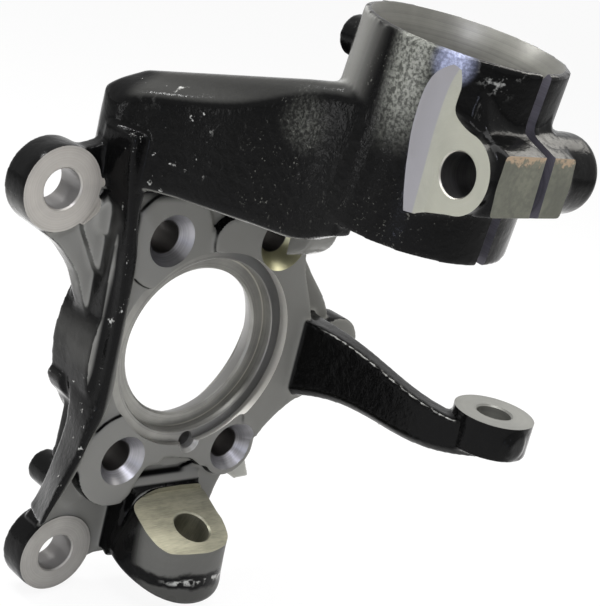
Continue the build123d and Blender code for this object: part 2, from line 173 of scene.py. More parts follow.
class Board:
    """One material's node tree."""

    def __init__(self, name: str) -> None:
        """Make an empty material with its output and Principled shader."""
        self.material = bpy.data.materials.new(name)
        self.material.use_nodes = True
        self.tree = self.material.node_tree
        self.tree.nodes.clear()
        self.output = self.node("ShaderNodeOutputMaterial", {}, {})
        self.shader = self.node("ShaderNodeBsdfPrincipled", {}, {})
        self.tree.links.new(self.shader.outputs[0], self.output.inputs["Surface"])

    def node(self, kind: str, settings: dict, sockets: dict) -> bpy.types.Node:
        """Add any node.

        Args:
            kind: The node's type.
            settings: Properties, set first. "stops" sets a ramp's stops.
            sockets: Values or links of its inputs, by name or index.

        Returns:
            The node.
        """
        node = self.tree.nodes.new(kind)
        for key, setting in settings.items():
            if key == "stops":
                ramp = node.color_ramp.elements
                while len(ramp) < len(setting):
                    ramp.new(0.5)
                for stop, (place, colour) in zip(ramp, setting):
                    stop.position = place
                    stop.color = (*colour, 1.0)
            else:
                setattr(node, key, setting)
        for key, value in sockets.items():
            socket = node.inputs[key]
            if isinstance(value, Value):
                self.tree.links.new(value.socket, socket)
            elif isinstance(value, tuple) and len(value) == 3 and socket.type == "RGBA":
                socket.default_value = (*value, 1.0)
            else:
                socket.default_value = value
        return node

    def out(self, node: bpy.types.Node, key: str | int = 0) -> Value:
        """Output of a node as a value."""
        return Value(self, node.outputs[key])

    def place(self) -> Value:
        """Object coordinates."""
        return self.out(self.node("ShaderNodeTexCoord", {}, {}), "Object")

    def vector(self, operation: str, *operands: "Value | Spot", key: str = "Vector") -> Value:
        """Vector Math node's result."""
        return self.out(self.node("ShaderNodeVectorMath", {"operation": operation}, dict(enumerate(operands))), key)

    def parts(self, vector: Value) -> tuple[Value, Value, Value]:
        """The three components of a vector."""
        split = self.node("ShaderNodeSeparateXYZ", {}, {"Vector": vector})
        return self.out(split, "X"), self.out(split, "Y"), self.out(split, "Z")

    def noise(self, where: Value, scale: float, detail: float = 2.0, rough: float = 0.5) -> Value:
        """Noise of a scale in waves per metre."""
        return self.out(self.node("ShaderNodeTexNoise", {}, {"Vector": where, "Scale": scale, "Detail": detail,
                                                             "Roughness": rough}), "Fac")

    def blend(self, factor: Value, low: "Value | Spot", high: "Value | Spot") -> Value:
        """Colour between two colours."""
        node = self.node("ShaderNodeMix", {"data_type": "RGBA"}, {"Factor": factor})
        for socket, colour in ((node.inputs[6], low), (node.inputs[7], high)):
            if isinstance(colour, Value):
                self.tree.links.new(colour.socket, socket)
            else:
                socket.default_value = (*colour, 1.0)
        return self.out(node, 2)

    def relief(self, *layers: tuple[Value, float, float]) -> None:
        """Stack Bump nodes on the shader's normal.

        Args:
            layers: Height, depth in metres and strength of each layer.
        """
        normal = None
        for height, depth, strength in layers:
            sockets = {"Height": height, "Distance": depth, "Strength": strength}
            if normal is not None:
                sockets["Normal"] = normal
            normal = self.out(self.node("ShaderNodeBump", {}, sockets))
        self.tree.links.new(normal.socket, self.shader.inputs["Normal"])

    def drive(self, **sockets: "Value | float | Spot") -> None:
        """Set or link the shader's sockets, whose names have _ for a blank."""
        for key, value in sockets.items():
            socket = self.shader.inputs[key.replace("_", " ")]
            if isinstance(value, Value):
                self.tree.links.new(value.socket, socket)
            else:
                socket.default_value = (*value, 1.0) if isinstance(value, tuple) else value


# ---------------------------------------------------------------- finishes
@dataclass(frozen=True)
class GlossPaint:
    """Thick black paint over the rough casting, with a painted reflection in grey on the hub face and painted
    highlights and glints.
    """

    colour: Spot = (0.0025, 0.0025, 0.0025)
    # Grey of the painted reflections on the hub face, the arm's edges, the lug wall and the web.
    reflection_grey: Spot = (0.168, 0.167, 0.155)
    # Colour of the painted highlight specks.
    speck_glint_colour: Spot = (0.16, 0.16, 0.14)
    # Colour of the painted glints on the arm's face and the clamp's left side.
    glint_colour: Spot = (0.24, 0.245, 0.215)
    # Colour of a painted bluish glint.
    blue_glint_colour: Spot = (0.36, 0.39, 0.54)
    # Colour of the painted highlights: streaks, the arm's edge line and sheen.
    highlight_colour: Spot = (0.55, 0.55, 0.52)
    index: float = 1.16
    gloss: float = 0.12
    peel: float = 260.0
    grain: float = 900.0

    @staticmethod
    def reach(board: Board, where: Value, centre: Spot) -> Value:
        """Distance in metres from a place given in millimetres."""
        return board.vector("DISTANCE", where, tuple(value * MM for value in centre), key="Value")

    def material(self) -> bpy.types.Material:
        """Build the paint.

        Returns:
            The material.
        """
        board = Board("gloss_black_paint")
        where = board.place()
        lumps = board.noise(where, self.peel, 3.0, 0.55)
        sand = board.noise(where, self.grain, 2.0, 0.6)
        patch = board.noise(where, 38.0, 3.0, 0.6)
        x, y, z = board.parts(where)
        side, toward, up = board.parts(board.out(board.node("ShaderNodeNewGeometry", {}, {}), "Normal"))
        inboard = (0 - toward).band(0.45, 0.80)
        edge = x + 0.41 * (-0.026 - z).above(0.0)
        ridge = (1 - edge.band(-0.0455, -0.0435)) * ((1 - y.band(-0.002, -0.001)) + x.band(-0.051, -0.049)
                                                     + (1 - z.band(-0.020, -0.006))).below(1.0)
        # plate paints a reflection of the bright studio side, in reflection grey, on inboard-facing faces of the hub
        # plate and web. groove is a band on the neck above the ball seat that is left out of it, and so is the ridge.
        groove = ((1 - z.band(-0.0592, -0.0582)) * y.band(-0.0027, -0.0023) * (1 - y.band(0.000, 0.0015))
                  * x.band(-0.0235, -0.0205) * (1 - x.band(0.0160, 0.0175)))
        plate = (1 - groove) * inboard * y.band(-0.0065, -0.0055) * (1 - y.band(0.0102, 0.0110)) * (1 - z.band(0.060, 0.064)) * (1 - ridge)
        # Painted reflection: down-facing faces along the arm's lower edge, in reflection grey.
        lip_reflection = (1 - up.band(-0.75, -0.45)) * z.band(0.058, 0.061) * (1 - z.band(0.074, 0.078)) * y.band(-0.075, -0.070)
        # Painted reflection: a patch in reflection grey in front of the hub's upper right.
        foot_reflection = (x.band(0.018, 0.022) * z.band(0.030, 0.036) * (1 - z.band(0.066, 0.074)) * y.band(-0.045, -0.038)
                * (1 - y.band(-0.008, -0.006)))
        # Sparse painted highlight specks, kept to the upper arm and the clamp.
        speck_glints = sand.band(0.60, 0.72) * lumps.band(0.45, 0.62) * patch.band(0.45, 0.6) * (1 - y.band(-0.055, -0.035)) * 0.5
        wavy = z + 0.003 * (lumps - 0.5) + 0.012 * (patch - 0.5)
        # Painted reflection: a grey band high on the ball lug's wall and a fainter grey rim at its bottom.
        skirt_reflection = ((wavy.band(-0.0855, -0.0830) + (1 - wavy.band(-0.0925, -0.0905)) * 0.6) * (1 - z.band(-0.062, -0.058))
                 * (1 - y.band(-0.020, -0.012)) * (1 - abs(up).band(0.5, 0.8)))
        # Painted reflection: the upper arm's rounded top edge, lightened slightly.
        crest_reflection = up.band(0.25, 0.6) * (1 - up.band(0.92, 0.98)) * (1 - x.band(-0.024, -0.018)) * z.band(0.095, 0.100) * (1 - y.band(0.002, 0.01))
        # Painted reflection: outboard-facing faces where the arm turns into the clamp, in full reflection grey.
        turn = toward.band(0.0, 0.5) * z.band(0.102, 0.106) * (1 - y.band(-0.066, -0.060)) * (1 - x.band(-0.01, 0.0))
        # Painted glint: a speckled patch on the upper arm's face.
        arm_glint = (1 - self.reach(board, where, (-24.0, -61.0, 109.5)).band(0.002, 0.017)) * (0.15 + 0.85 * sand.band(0.38, 0.72))
        # Painted highlights: worm-like streaks on the arm and the ridge's top end, and flecks on the clamp rim.
        ripple = (lumps + 0.35 * sand).band(0.70, 0.86)
        streak_glints = ripple * ((1 - self.reach(board, where, (-24.0, -82.0, 104.0)).band(0.004, 0.009))
                            + (1 - self.reach(board, where, (-68.0, -8.0, 102.0)).band(0.008, 0.018))
                            + (1 - self.reach(board, where, (-13.0, -120.0, 144.5)).band(0.003, 0.010)) * 0.5).below(1.0)
        # Painted highlight along the steering arm's upper front edge.
        edge_highlight = ((0 - toward).band(0.05, 0.25) * up.band(0.35, 0.5) * (1 - up.band(0.70, 0.85)) * x.band(0.046, 0.050) * (1 - z.band(0.030, 0.036))
                     * (1 - x.band(0.066, 0.070)) * (1 - y.band(-0.020, -0.012)) * z.band(-0.02, -0.015)
                     * (0.35 + 0.65 * patch.band(0.35, 0.5)))
        # Painted highlights: a band low on the ball lug and sparkles on the ridge crest.
        sheen = (wavy.band(-0.0900, -0.0880) * (1 - wavy.band(-0.0870, -0.0860)) * (1 - y.band(-0.030, -0.024)) * lumps.band(0.45, 0.6)
                 + ridge * (lumps + 0.35 * sand).band(0.83, 0.95) * (1 - x.band(-0.040, -0.036)))
        # Painted glint: a speckled band on the clamp's left side.
        wrap_glint = ((1 - x.band(-0.029, -0.026)) * y.band(-0.107, -0.101) * (1 - y.band(-0.096, -0.088)) * z.band(0.108, 0.135)
                * (0.25 + 0.75 * (sand + 0.25 * lumps).band(0.45, 0.80)))
        # Painted bluish glint on the clamp's front rim.
        blue_glint = (1 - self.reach(board, where, (-25.0, -110.0, 144.0)).band(0.0015, 0.0085)) * (0.5 + 0.5 * sand.band(0.35, 0.7))
        # Painted reflection: faces of the web left of the ridge that face −X, in reflection grey.
        blade_reflection = ((0 - side).band(0.35, 0.7) * (1 - x.band(-0.056, -0.050)) * z.band(-0.035, -0.015) * (1 - z.band(0.050, 0.060))
                 * y.band(-0.004, 0.002) * (0.35 + 0.65 * patch.band(0.35, 0.60)))
        bare = x.band(0.034, 0.037) * y.band(0.0115, 0.0125) * (1 - z.band(-0.050, -0.047))
        # The plate's painted reflection, with the painted highlight specks, over the black paint.
        grey = board.blend(plate * 0.95, board.blend(speck_glints * z.band(0.05, 0.08), self.colour, self.speck_glint_colour),
                           self.reflection_grey)
        # Painted reflections in reflection grey on the arm's lip, the lug wall, a patch above the hub's right side, the
        # arm's top edge, the turn into the clamp and the web; bare is the machined boss's own colour.
        toned = board.blend((lip_reflection * 0.7 + skirt_reflection * 0.55 + foot_reflection * 0.9 + crest_reflection * 0.15 + turn + blade_reflection * 0.6).below(1.0),
                            board.blend(bare, grey, (0.38, 0.38, 0.35)), self.reflection_grey)
        # Painted glints, then painted highlights, over the colour.
        glinting = board.blend((arm_glint * 0.8 + wrap_glint * 0.85).below(1.0), toned, self.glint_colour)
        glinting = board.blend((streak_glints * 0.9 + edge_highlight * 0.7 + sheen * 0.7).below(1.0), glinting, self.highlight_colour)
        # The painted bluish glint goes on last.
        board.drive(Base_Color=board.blend(blue_glint, glinting, self.blue_glint_colour),
                    Roughness=self.gloss + 0.10 * patch + plate * 0.3 + skirt_reflection * 0.2, IOR=self.index)
        board.relief((lumps * (1 - plate * 0.8), 0.00035, 0.6), (sand * (1 - plate * 0.7), 0.00010, 0.45))
        return board.material


@dataclass(frozen=True)
class BareMetal:
    """Machined iron with tool marks round an axis or along one."""

    name: str
    centre: Spot
    axis: Spot = (0.0, 1.0, 0.0)
    lay: Lay = Lay.TURNED
    colour: Spot = (0.42, 0.40, 0.36)
    dark: Spot = (0.25, 0.24, 0.22)
    rough: float = 0.38
    marks: float = 2400.0
    depth: float = 0.00003
    metal: float = 0.85
    folded: bool = False
    edge_tint: Spot | None = None
    zones: tuple[tuple[float, float, float, float, Spot], ...] = ()
    side: bool = False

    def material(self) -> bpy.types.Material:
        """Build the metal.

        Returns:
            The material.
        """
        board = Board(self.name)
        where = board.place()
        if self.folded:
            where = board.vector("ABSOLUTE", where)
        local = board.vector("SUBTRACT", where, tuple(value * MM for value in self.centre))
        along = board.vector("DOT_PRODUCT", local, self.axis, key="Value")
        flat = board.vector("SUBTRACT", local, board.out(board.node(
            "ShaderNodeVectorMath", {"operation": "SCALE"}, {"Vector": self.axis, "Scale": along})))
        around = board.vector("LENGTH", flat, key="Value")
        if self.lay is Lay.TURNED:
            track = board.out(board.node("ShaderNodeCombineXYZ", {}, {"X": around, "Y": along, "Z": 0.0}))
        else:
            track = board.out(board.node("ShaderNodeCombineXYZ", {}, {"X": along, "Y": around * 0.08, "Z": 0.0}))
        lines = board.noise(track, self.marks, 2.0, 0.7)
        broad = board.noise(track, self.marks * 0.12, 1.0, 0.5)
        stain = board.noise(board.place(), 70.0, 3.0, 0.6)
        tone = (0.45 * lines + 0.3 * broad + 0.45 * stain).band(0.35, 0.85)
        colour = board.blend(tone, self.dark, self.colour)
        if self.edge_tint is not None:
            x, _, z = board.parts(board.place())
            if self.folded:
                colour = board.blend(x.band(0.0, 0.001) * z.band(0.0, 0.001), colour, self.edge_tint)
            else:
                fleck = board.noise(board.place(), 420.0, 3.0, 0.7)
                ragged = z + 0.010 * (fleck - 0.5)
                colour = board.blend(fleck.band(0.40, 0.62) * 0.5, colour, self.dark)
                colour = board.blend(ragged.band(0.1196, 0.1216), colour, self.edge_tint)
        # Zones recolour bands of radius and height: painted shade down holes and on the hub's floor annulus, painted
        # highlights on edges, and a different tone on the spot face's wall. With side they keep to the +X half.
        for inner, outer, low, high, shade in self.zones:
            ring = around.band((inner - 0.15) * MM, (inner + 0.15) * MM) * (1 - around.band((outer - 0.15) * MM, (outer + 0.15) * MM))
            level = along.band((low - 0.15) * MM, (low + 0.15) * MM) * (1 - along.band((high - 0.15) * MM, (high + 0.15) * MM))
            if self.side:
                level = level * board.parts(where)[0].band(-0.012, 0.012)
            colour = board.blend(ring * level, colour, shade)
        board.drive(Base_Color=colour, Metallic=self.metal,
                    Roughness=self.rough + 0.16 * (lines - 0.5))
        board.relief((lines, self.depth, 0.5))
        return board.material


# ---------------------------------------------------------------- mesh helpers
def mesh_object(name: str, build: bmesh.types.BMesh) -> bpy.types.Object:
    """Turn a bmesh into an object at the origin and free the bmesh.

    Args:
        name: Name of the object.
        build: Its geometry in metres.

    Returns:
        The object, linked to the scene.
    """
    mesh = bpy.data.meshes.new(name)
    build.to_mesh(mesh)
    build.free()
    made = bpy.data.objects.new(name, mesh)
    bpy.context.scene.collection.objects.link(made)
    return made


def settle(made: bpy.types.Object) -> bpy.types.Object:
    """Apply every modifier of an object and return it."""
    graph = bpy.context.evaluated_depsgraph_get()
    graph.update()
    mesh = bpy.data.meshes.new_from_object(made.evaluated_get(graph), preserve_all_data_layers=True, depsgraph=graph)
    made.modifiers.clear()
    old = made.data
    made.data = mesh
    bpy.data.meshes.remove(old)
    return made


def aim(axis: Spot, origin: Spot) -> Matrix:
    """Matrix that takes local Z to an axis and the local origin to a place in millimetres."""
    turn = Vector(axis).to_track_quat("Z", "Y").to_matrix().to_4x4()
    return Matrix.Translation(Vector(origin) * MM) @ turn


def lathe(profile: list[Point], place: Matrix, sides: int = 96) -> bmesh.types.BMesh:
    """Revolve a closed profile about local Z.

    Args:
        profile: Radius and height in millimetres, from one end of the axis to the other.
        place: Where local Z and the origin go.
        sides: Facets round the axis.

    Returns:
        The closed solid.
    """
    build = bmesh.new()
    rings = []
    for radius, height in profile:
        if radius < 1e-6:
            rings.append([build.verts.new((0, 0, height * MM))])
            continue
        rings.append([build.verts.new((radius * MM * cos(tau * k / sides), radius * MM * sin(tau * k / sides), height * MM))
                      for k in range(sides)])
    for low, high in zip(rings, rings[1:]):
        for k in range(sides):
            following = (k + 1) % sides
            if len(low) == 1 and len(high) == 1:
                break
            if len(low) == 1:
                build.faces.new((low[0], high[k], high[following]))
            elif len(high) == 1:
                build.faces.new((low[k], low[following], high[0]))
            else:
                build.faces.new((low[k], low[following], high[following], high[k]))
    build.transform(place)
    bmesh.ops.recalc_face_normals(build, faces=build.faces)
    return build


def drum(radius: float, low: float, high: float, place: Matrix, sides: int = 96) -> bmesh.types.BMesh:
    """Closed cylinder between two heights on local Z, in millimetres."""
    return lathe([(0, low), (radius, low), (radius, high), (0, high)], place, sides)


def prism(outline: list[Point], low: float, high: float, place: Matrix) -> bmesh.types.BMesh:
    """Extrude a closed outline along local Z.

    Args:
        outline: Corners in millimetres.
        low: Start of the extrusion.
        high: Its end.
        place: Where local Z and the origin go.

    Returns:
        The closed solid.
    """
    build = bmesh.new()
    floor = [build.verts.new((x * MM, y * MM, low * MM)) for x, y in outline]
    roof = [build.verts.new((x * MM, y * MM, high * MM)) for x, y in outline]
    build.faces.new(floor)
    build.faces.new(roof)
    for k in range(len(outline)):
        following = (k + 1) % len(outline)
        build.faces.new((floor[k], floor[following], roof[following], roof[k]))
    build.transform(place)
    bmesh.ops.triangulate(build, faces=[face for face in build.faces if len(face.verts) > 4])
    bmesh.ops.recalc_face_normals(build, faces=build.faces)
    return build


def stack(layers: list[tuple[list[Point], float]], place: Matrix) -> bmesh.types.BMesh:
    """Closed solid through outlines of the same count at rising heights.

    Args:
        layers: Outline and height of each layer, in millimetres.
        place: Where local Z and the origin go.

    Returns:
        The closed solid.
    """
    build = bmesh.new()
    rings = [[build.verts.new((x * MM, y * MM, level * MM)) for x, y in outline] for outline, level in layers]
    build.faces.new(rings[0])
    build.faces.new(rings[-1])
    for low, high in zip(rings, rings[1:]):
        for k in range(len(low)):
            following = (k + 1) % len(low)
            build.faces.new((low[k], low[following], high[following], high[k]))
    build.transform(place)
    bmesh.ops.triangulate(build, faces=[face for face in build.faces if len(face.verts) > 4])
    bmesh.ops.recalc_face_normals(build, faces=build.faces)
    return build


def curve_through(points: list[Point], steps: int = 6) -> list[Point]:
    """Smooth open line through points.

    Args:
        points: Points that it passes.
        steps: Pieces between two of them.

    Returns:
        The points of the line, ends included.
    """
    line: list[Point] = []
    padded = [points[0], *points, points[-1]]
    for a, b, c, d in zip(padded, padded[1:], padded[2:], padded[3:]):
        for k in range(steps):
            t = k / steps
            line.append(tuple(0.5 * (2 * b[i] + (c[i] - a[i]) * t + (2 * a[i] - 5 * b[i] + 4 * c[i] - d[i]) * t * t
                                     + (3 * b[i] - a[i] - 3 * c[i] + d[i]) * t ** 3) for i in (0, 1)))
    line.append(points[-1])
    return line


INBOARD = Matrix(((1, 0, 0, 0), (0, 0, 1, 0), (0, 1, 0, 0), (0, 0, 0, 1)))
"""Local X and Y lie on world X and Z, and local Z is world +Y."""
SIDEWAYS = Matrix(((0, 0, 1, 0), (1, 0, 0, 0), (0, 1, 0, 0), (0, 0, 0, 1)))
"""Local X and Y lie on world Y and Z, and local Z is world +X."""


# ---------------------------------------------------------------- the casting
@dataclass
class Casting:
    """The cast body with its stock, its rounding and its machining."""

    voxel: float = 0.8
    rounding: int = 12
    triangles: int = 150_000
    allowance: float = 2.4
    bolt: Point = (27.6, 45.5)
    bolt_radius: float = 6.5
    seat_radius: float = 10.4
    seat_depth: float = 2.2
    pad_face: float = -2.8
    pad_radius: float = 20.0
    land_face: float = -5.0
    ear_top: Point = (-73.6, 61.6)
    ear_low: Point = (-42.4, -89.2)
    ear_face: float = 7.4
    ear_radius: float = 16.0
    ear_hole: float = 7.6
    strut: Spot = (3.2, -88.8, 149.0)
    strut_lean: float = 5.0
    strut_radius: float = 27.5
    clamp_top: float = 35.5
    clamp_low: float = 36.0
    clamp_height: float = 66.5
    slit: Point = (4.0, 4.6)
    pinch: Point = (-120.6, 111.5)
    pinch_radius: float = 7.25
    pinch_face: float = -22.0
    sweep: tuple[Point, ...] = ((-8.5, -40.0), (-7.5, -11.5), (-6.0, -8.5), (-3.8, -5.5), (-1.4, -3.0), (1.2, -1.2),
                                (4.0, 0.0))
    tie: Spot = (81.7, -86.0, 4.5)
    tie_radius: float = 16.2
    tie_hole: float = 7.0
    tie_height: float = 14.5
    tie_nut: float = 10.5
    ball: Spot = (0.0, -20.5, -69.0)
    ball_tilt: float = 20.0
    ball_hole: float = 7.6
    sensor: Point = (4.4, -40.6)
    shield: Point = (-40.2, -61.5)
    outline: list[Point] = field(default_factory=lambda: [
        (-22.1, 8.2), (-20.9, 12.6), (-20, 15), (-17.5, 16.7), (-13.3, 18.1), (-5.6, 19.5), (4.6, 19.7), (14, 19.2),
        (17.0, 18.0), (17.1, 15.8), (16.3, 5.7), (13.7, -7.6), (9.6, -11.5), (-0.5, -13.7), (-11.6, -12.5),
        (-18.2, -10.8), (-21.3, -6.4), (-22.5, 1.1)])

    @property
    def strut_axis(self) -> Spot:
        """Unit vector up the strut bore."""
        return (0.0, -sin(radians(self.strut_lean)), cos(radians(self.strut_lean)))

    @property
    def ball_axis(self) -> Spot:
        """Unit vector out of the ball-joint seat."""
        return (0.0, -sin(radians(self.ball_tilt)), cos(radians(self.ball_tilt)))

    def at_y(self, x: float, z: float, y: float = 0.0) -> Matrix:
        """Matrix with local Z along +Y at a place in millimetres."""
        return Matrix.Translation(Vector((x, y, z)) * MM) @ INBOARD

    def tilted(self, origin: Spot, lean: float) -> Matrix:
        """Matrix with local X on world X and local Z leaning from +Z towards the car."""
        angle = radians(lean)
        turn = Matrix(((1, 0, 0, 0), (0, cos(angle), -sin(angle), 0), (0, sin(angle), cos(angle), 0), (0, 0, 0, 1)))
        return Matrix.Translation(Vector(origin) * MM) @ turn

    def stock(self) -> list[bmesh.types.BMesh]:
        """Solids that stop the holes and stand proud of the machined faces."""
        spare = self.allowance

        def sector(start: int, end: int, top: float) -> bmesh.types.BMesh:
            """Wedge of the hub face between two angles, up to a height."""
            rim = [(43 * cos(radians(a)), 43 * sin(radians(a))) for a in range(start, end + 1, 4)]
            return prism([(0.0, 0.0), *rim], top, 1, INBOARD)

        solids = [
            drum(45.2, 0, 25 + spare, self.at_y(0, 0)),
            sector(-46, 97, self.land_face),
            sector(100, 140, self.pad_face),
            sector(219, 315, self.pad_face),
            lathe([(0, -self.clamp_height), (self.clamp_low, -self.clamp_height), (self.clamp_top, 0),
                   (0, 0)], self.tilted(self.strut, self.strut_lean)),
            drum(self.tie_radius, 0.1 - self.tie_height, spare, self.tilted(self.tie, 0)),
            prism(self.outline, -3, spare, self.tilted(self.ball, self.ball_tilt)),
            drum(self.ball_hole + 0.5, -27.3, spare, self.tilted(self.ball, self.ball_tilt)),
            drum(self.pinch_radius + 0.6, self.pinch_face, 35, Matrix.Translation(
                Vector((0, self.pinch[0], self.pinch[1])) * MM) @ SIDEWAYS),
            drum(4.2, 4, 20, self.at_y(*self.sensor)),
            drum(3.2, 15, 30, self.at_y(*self.shield)),
        ]
        for x in (-self.bolt[0], self.bolt[0]):
            for z in (-self.bolt[1], self.bolt[1]):
                top, radius = (self.land_face, 12.6) if x > 0 and z > 0 else (self.pad_face, 10.8)
                solids.append(drum(radius, top, 25 + spare, self.at_y(x, z)))
        for spot in (self.ear_top, self.ear_low):
            solids.append(drum(self.ear_radius, self.ear_face - spare, 15, self.at_y(*spot)))
            solids.append(drum(self.ear_hole + 0.6, self.ear_face, 20.2, self.at_y(*spot)))
        lug = (curve_through([(-100, 146), (-110, 139), (-110.5, 132), (-115.2, 127.6), (-121, 125.2)])
               + [(-121 - 12.6 * sin(radians(a)), 111.9 + 13.3 * cos(radians(a))) for a in range(10, 180, 10)]
               + [(-121, 98.5), (-100, 93)])
        solids.append(prism(lug, self.pinch_face - spare, self.pinch_face + 4, SIDEWAYS))
        block = curve_through([(-100, 138), (-121, 130.5), (-123.2, 126.8), (-129, 124.2), (-134.2, 122)]) + [
            (-134.2, 104), (-128, 100.4), (-100, 94)]
        solids.append(prism(block, 0, 8, SIDEWAYS))
        solids.append(prism([(-135.8, 102.6), (-128, 100.0), (-128, 123.8), (-135.8, 121.8)], -18.2, 17.5, SIDEWAYS))
        return solids

    def cutters(self) -> list[tuple[Finish, bmesh.types.BMesh]]:
        """Machining cuts, each with the finish that it leaves."""
        strut = self.tilted(self.strut, self.strut_lean)
        ball = self.tilted(self.ball, self.ball_tilt)
        cuts = [
            (Finish.HUB, lathe([(0, -30), (41.4, -30), (41.4, 0), (37.4, 0), (37, 0.4), (37, 5), (31.8, 5), (31, 5.8),
                                (31, 7), (34, 13.2), (44.6, 13.2), (44.6, 24), (45.6, 25), (53, 25), (53, 40), (0, 40)],
                               INBOARD, 192)),
            (Finish.STRUT, lathe([(0, -self.clamp_height - 20), (self.strut_radius, -self.clamp_height - 20),
                                  (self.strut_radius, -10), (self.strut_radius + 5.6, -0.6), (self.strut_radius + 6.6, 1.0),
                                  (0, 1.0)], strut, 160)),
            (Finish.TIE, drum(self.tie_radius + 3, 0, 8, self.tilted(self.tie, 0))),
            (Finish.TIE, lathe([(0, -40), (self.tie_hole, -40), (self.tie_hole, -0.7), (self.tie_hole + 0.8, 0.1), (0, 0.1)],
                               self.tilted(self.tie, 0), 64)),
            (Finish.TIE, drum(self.tie_nut, -30, -self.tie_height, self.tilted(self.tie, 0), 64)),
            (Finish.BALL, prism([(x * 1.05, y * 1.05 if y < 10 else y) for x, y in self.outline], 0, 9, ball)),
            (Finish.BALL, lathe([(0, -60), (self.ball_hole, -60), (self.ball_hole, -0.6), (self.ball_hole + 0.7, 0.1),
                                 (0, 0.1)], ball, 64)),
        ]
        for finish, spot in ((Finish.EAR_TOP, self.ear_top), (Finish.EAR_LOW, self.ear_low)):
            place = self.at_y(*spot)
            cuts.append((finish, drum(self.ear_radius + 1.2, self.ear_face - 8, self.ear_face, place)))
            cuts.append((finish, lathe([(0, self.ear_face - 0.1), (self.ear_hole + 0.7, self.ear_face - 0.1),
                                        (self.ear_hole, self.ear_face + 0.6), (self.ear_hole, 40), (0, 40)], place, 64)))
        wall = curve_through([(-107.6, 94.5), (-107.6, 110), (-107.6, 124), (-109.2, 138), (-114.6, 150)]) + [
            (-150, 150), (-150, 94.5)]
        cuts.append((Finish.SPOT, stack([([(y - shift, z) for y, z in wall[:-2]] + wall[-2:], self.pinch_face + level)
                                         for shift, level in self.sweep], SIDEWAYS)))
        cuts.append((Finish.BLOCK, prism([(-150, 90), (-134.2, 90), (-134.2, 135), (-150, 135)], -24, 24, SIDEWAYS)))
        pinch = Matrix.Translation(Vector((0, self.pinch[0], self.pinch[1])) * MM) @ SIDEWAYS
        cuts.append((Finish.PINCH, lathe([(0, self.pinch_face - 0.1), (self.pinch_radius + 0.6, self.pinch_face - 0.1),
                                          (self.pinch_radius, self.pinch_face + 0.5), (self.pinch_radius, 60), (0, 60)],
                                         pinch, 64)))
        cuts.append((Finish.SAWN, prism([(-90, 60), (-140, 60), (-140, 160), (-90, 160)],
                                        self.slit[0] - self.slit[1] / 2, self.slit[0] + self.slit[1] / 2, SIDEWAYS)))
        cuts.append((Finish.DRILLED, lathe([(0, -10), (12.0, -10), (5.0, self.pad_face), (3.5, self.pad_face + 1.6),
                                            (3.5, 50), (0, 50)], self.at_y(*self.sensor), 48)))
        cuts.append((Finish.DRILLED, drum(2.6, 16, 40, self.at_y(*self.shield), 32)))
        return cuts

    def bolt_cutter(self) -> bpy.types.Object:
        """Bolt holes and seats, one turned cutter set at the four corners by Geometry Nodes.

        Returns:
            The four cutters as one mesh.
        """
        tool = mesh_object("seat_tool", lathe(
            [(0, -10), (self.bolt_radius + (self.seat_radius - self.bolt_radius) * (self.seat_depth + 10)
                       / (self.seat_depth - self.pad_face), -10),
             (self.bolt_radius, self.seat_depth), (self.bolt_radius, 40), (0, 40)], INBOARD, 96))
        tree = bpy.data.node_groups.new("bolt_corners", "GeometryNodeTree")
        tree.interface.new_socket("Tool", in_out="INPUT", socket_type="NodeSocketObject")
        tree.interface.new_socket("Width", in_out="INPUT", socket_type="NodeSocketFloat")
        tree.interface.new_socket("Height", in_out="INPUT", socket_type="NodeSocketFloat")
        tree.interface.new_socket("Finish", in_out="INPUT", socket_type="NodeSocketMaterial")
        tree.interface.new_socket("Geometry", in_out="OUTPUT", socket_type="NodeSocketGeometry")
        nodes = {key: tree.nodes.new(kind) for key, kind in (
            ("given", "NodeGroupInput"), ("grid", "GeometryNodeMeshGrid"), ("info", "GeometryNodeObjectInfo"),
            ("turn", "GeometryNodeTransform"), ("set", "GeometryNodeInstanceOnPoints"),
            ("real", "GeometryNodeRealizeInstances"), ("coat", "GeometryNodeSetMaterial"), ("result", "NodeGroupOutput"))}
        nodes["grid"].inputs["Vertices X"].default_value = 2
        nodes["grid"].inputs["Vertices Y"].default_value = 2
        nodes["turn"].inputs["Rotation"].default_value = (pi / 2, 0, 0)
        for start, end in (
                ((nodes["given"], "Width"), (nodes["grid"], "Size X")), ((nodes["given"], "Height"), (nodes["grid"], "Size Y")),
                ((nodes["grid"], "Mesh"), (nodes["turn"], "Geometry")), ((nodes["turn"], "Geometry"), (nodes["set"], "Points")),
                ((nodes["given"], "Tool"), (nodes["info"], "Object")), ((nodes["info"], "Geometry"), (nodes["set"], "Instance")),
                ((nodes["set"], "Instances"), (nodes["real"], "Geometry")), ((nodes["real"], "Geometry"), (nodes["coat"], "Geometry")),
                ((nodes["given"], "Finish"), (nodes["coat"], "Material")), ((nodes["coat"], "Geometry"), (nodes["result"], "Geometry"))):
            tree.links.new(start[0].outputs[start[1]], end[0].inputs[end[1]])
        holder = mesh_object("bolt_cutters", bmesh.new())
        modifier = holder.modifiers.new("corners", "NODES")
        modifier.node_group = tree
        given = {item.name: item.identifier for item in tree.interface.items_tree if item.in_out == "INPUT"}
        modifier[given["Tool"]] = tool
        modifier[given["Width"]] = 2 * self.bolt[0] * MM
        modifier[given["Height"]] = 2 * self.bolt[1] * MM
        settle(holder)
        bpy.data.objects.remove(tool)
        return holder

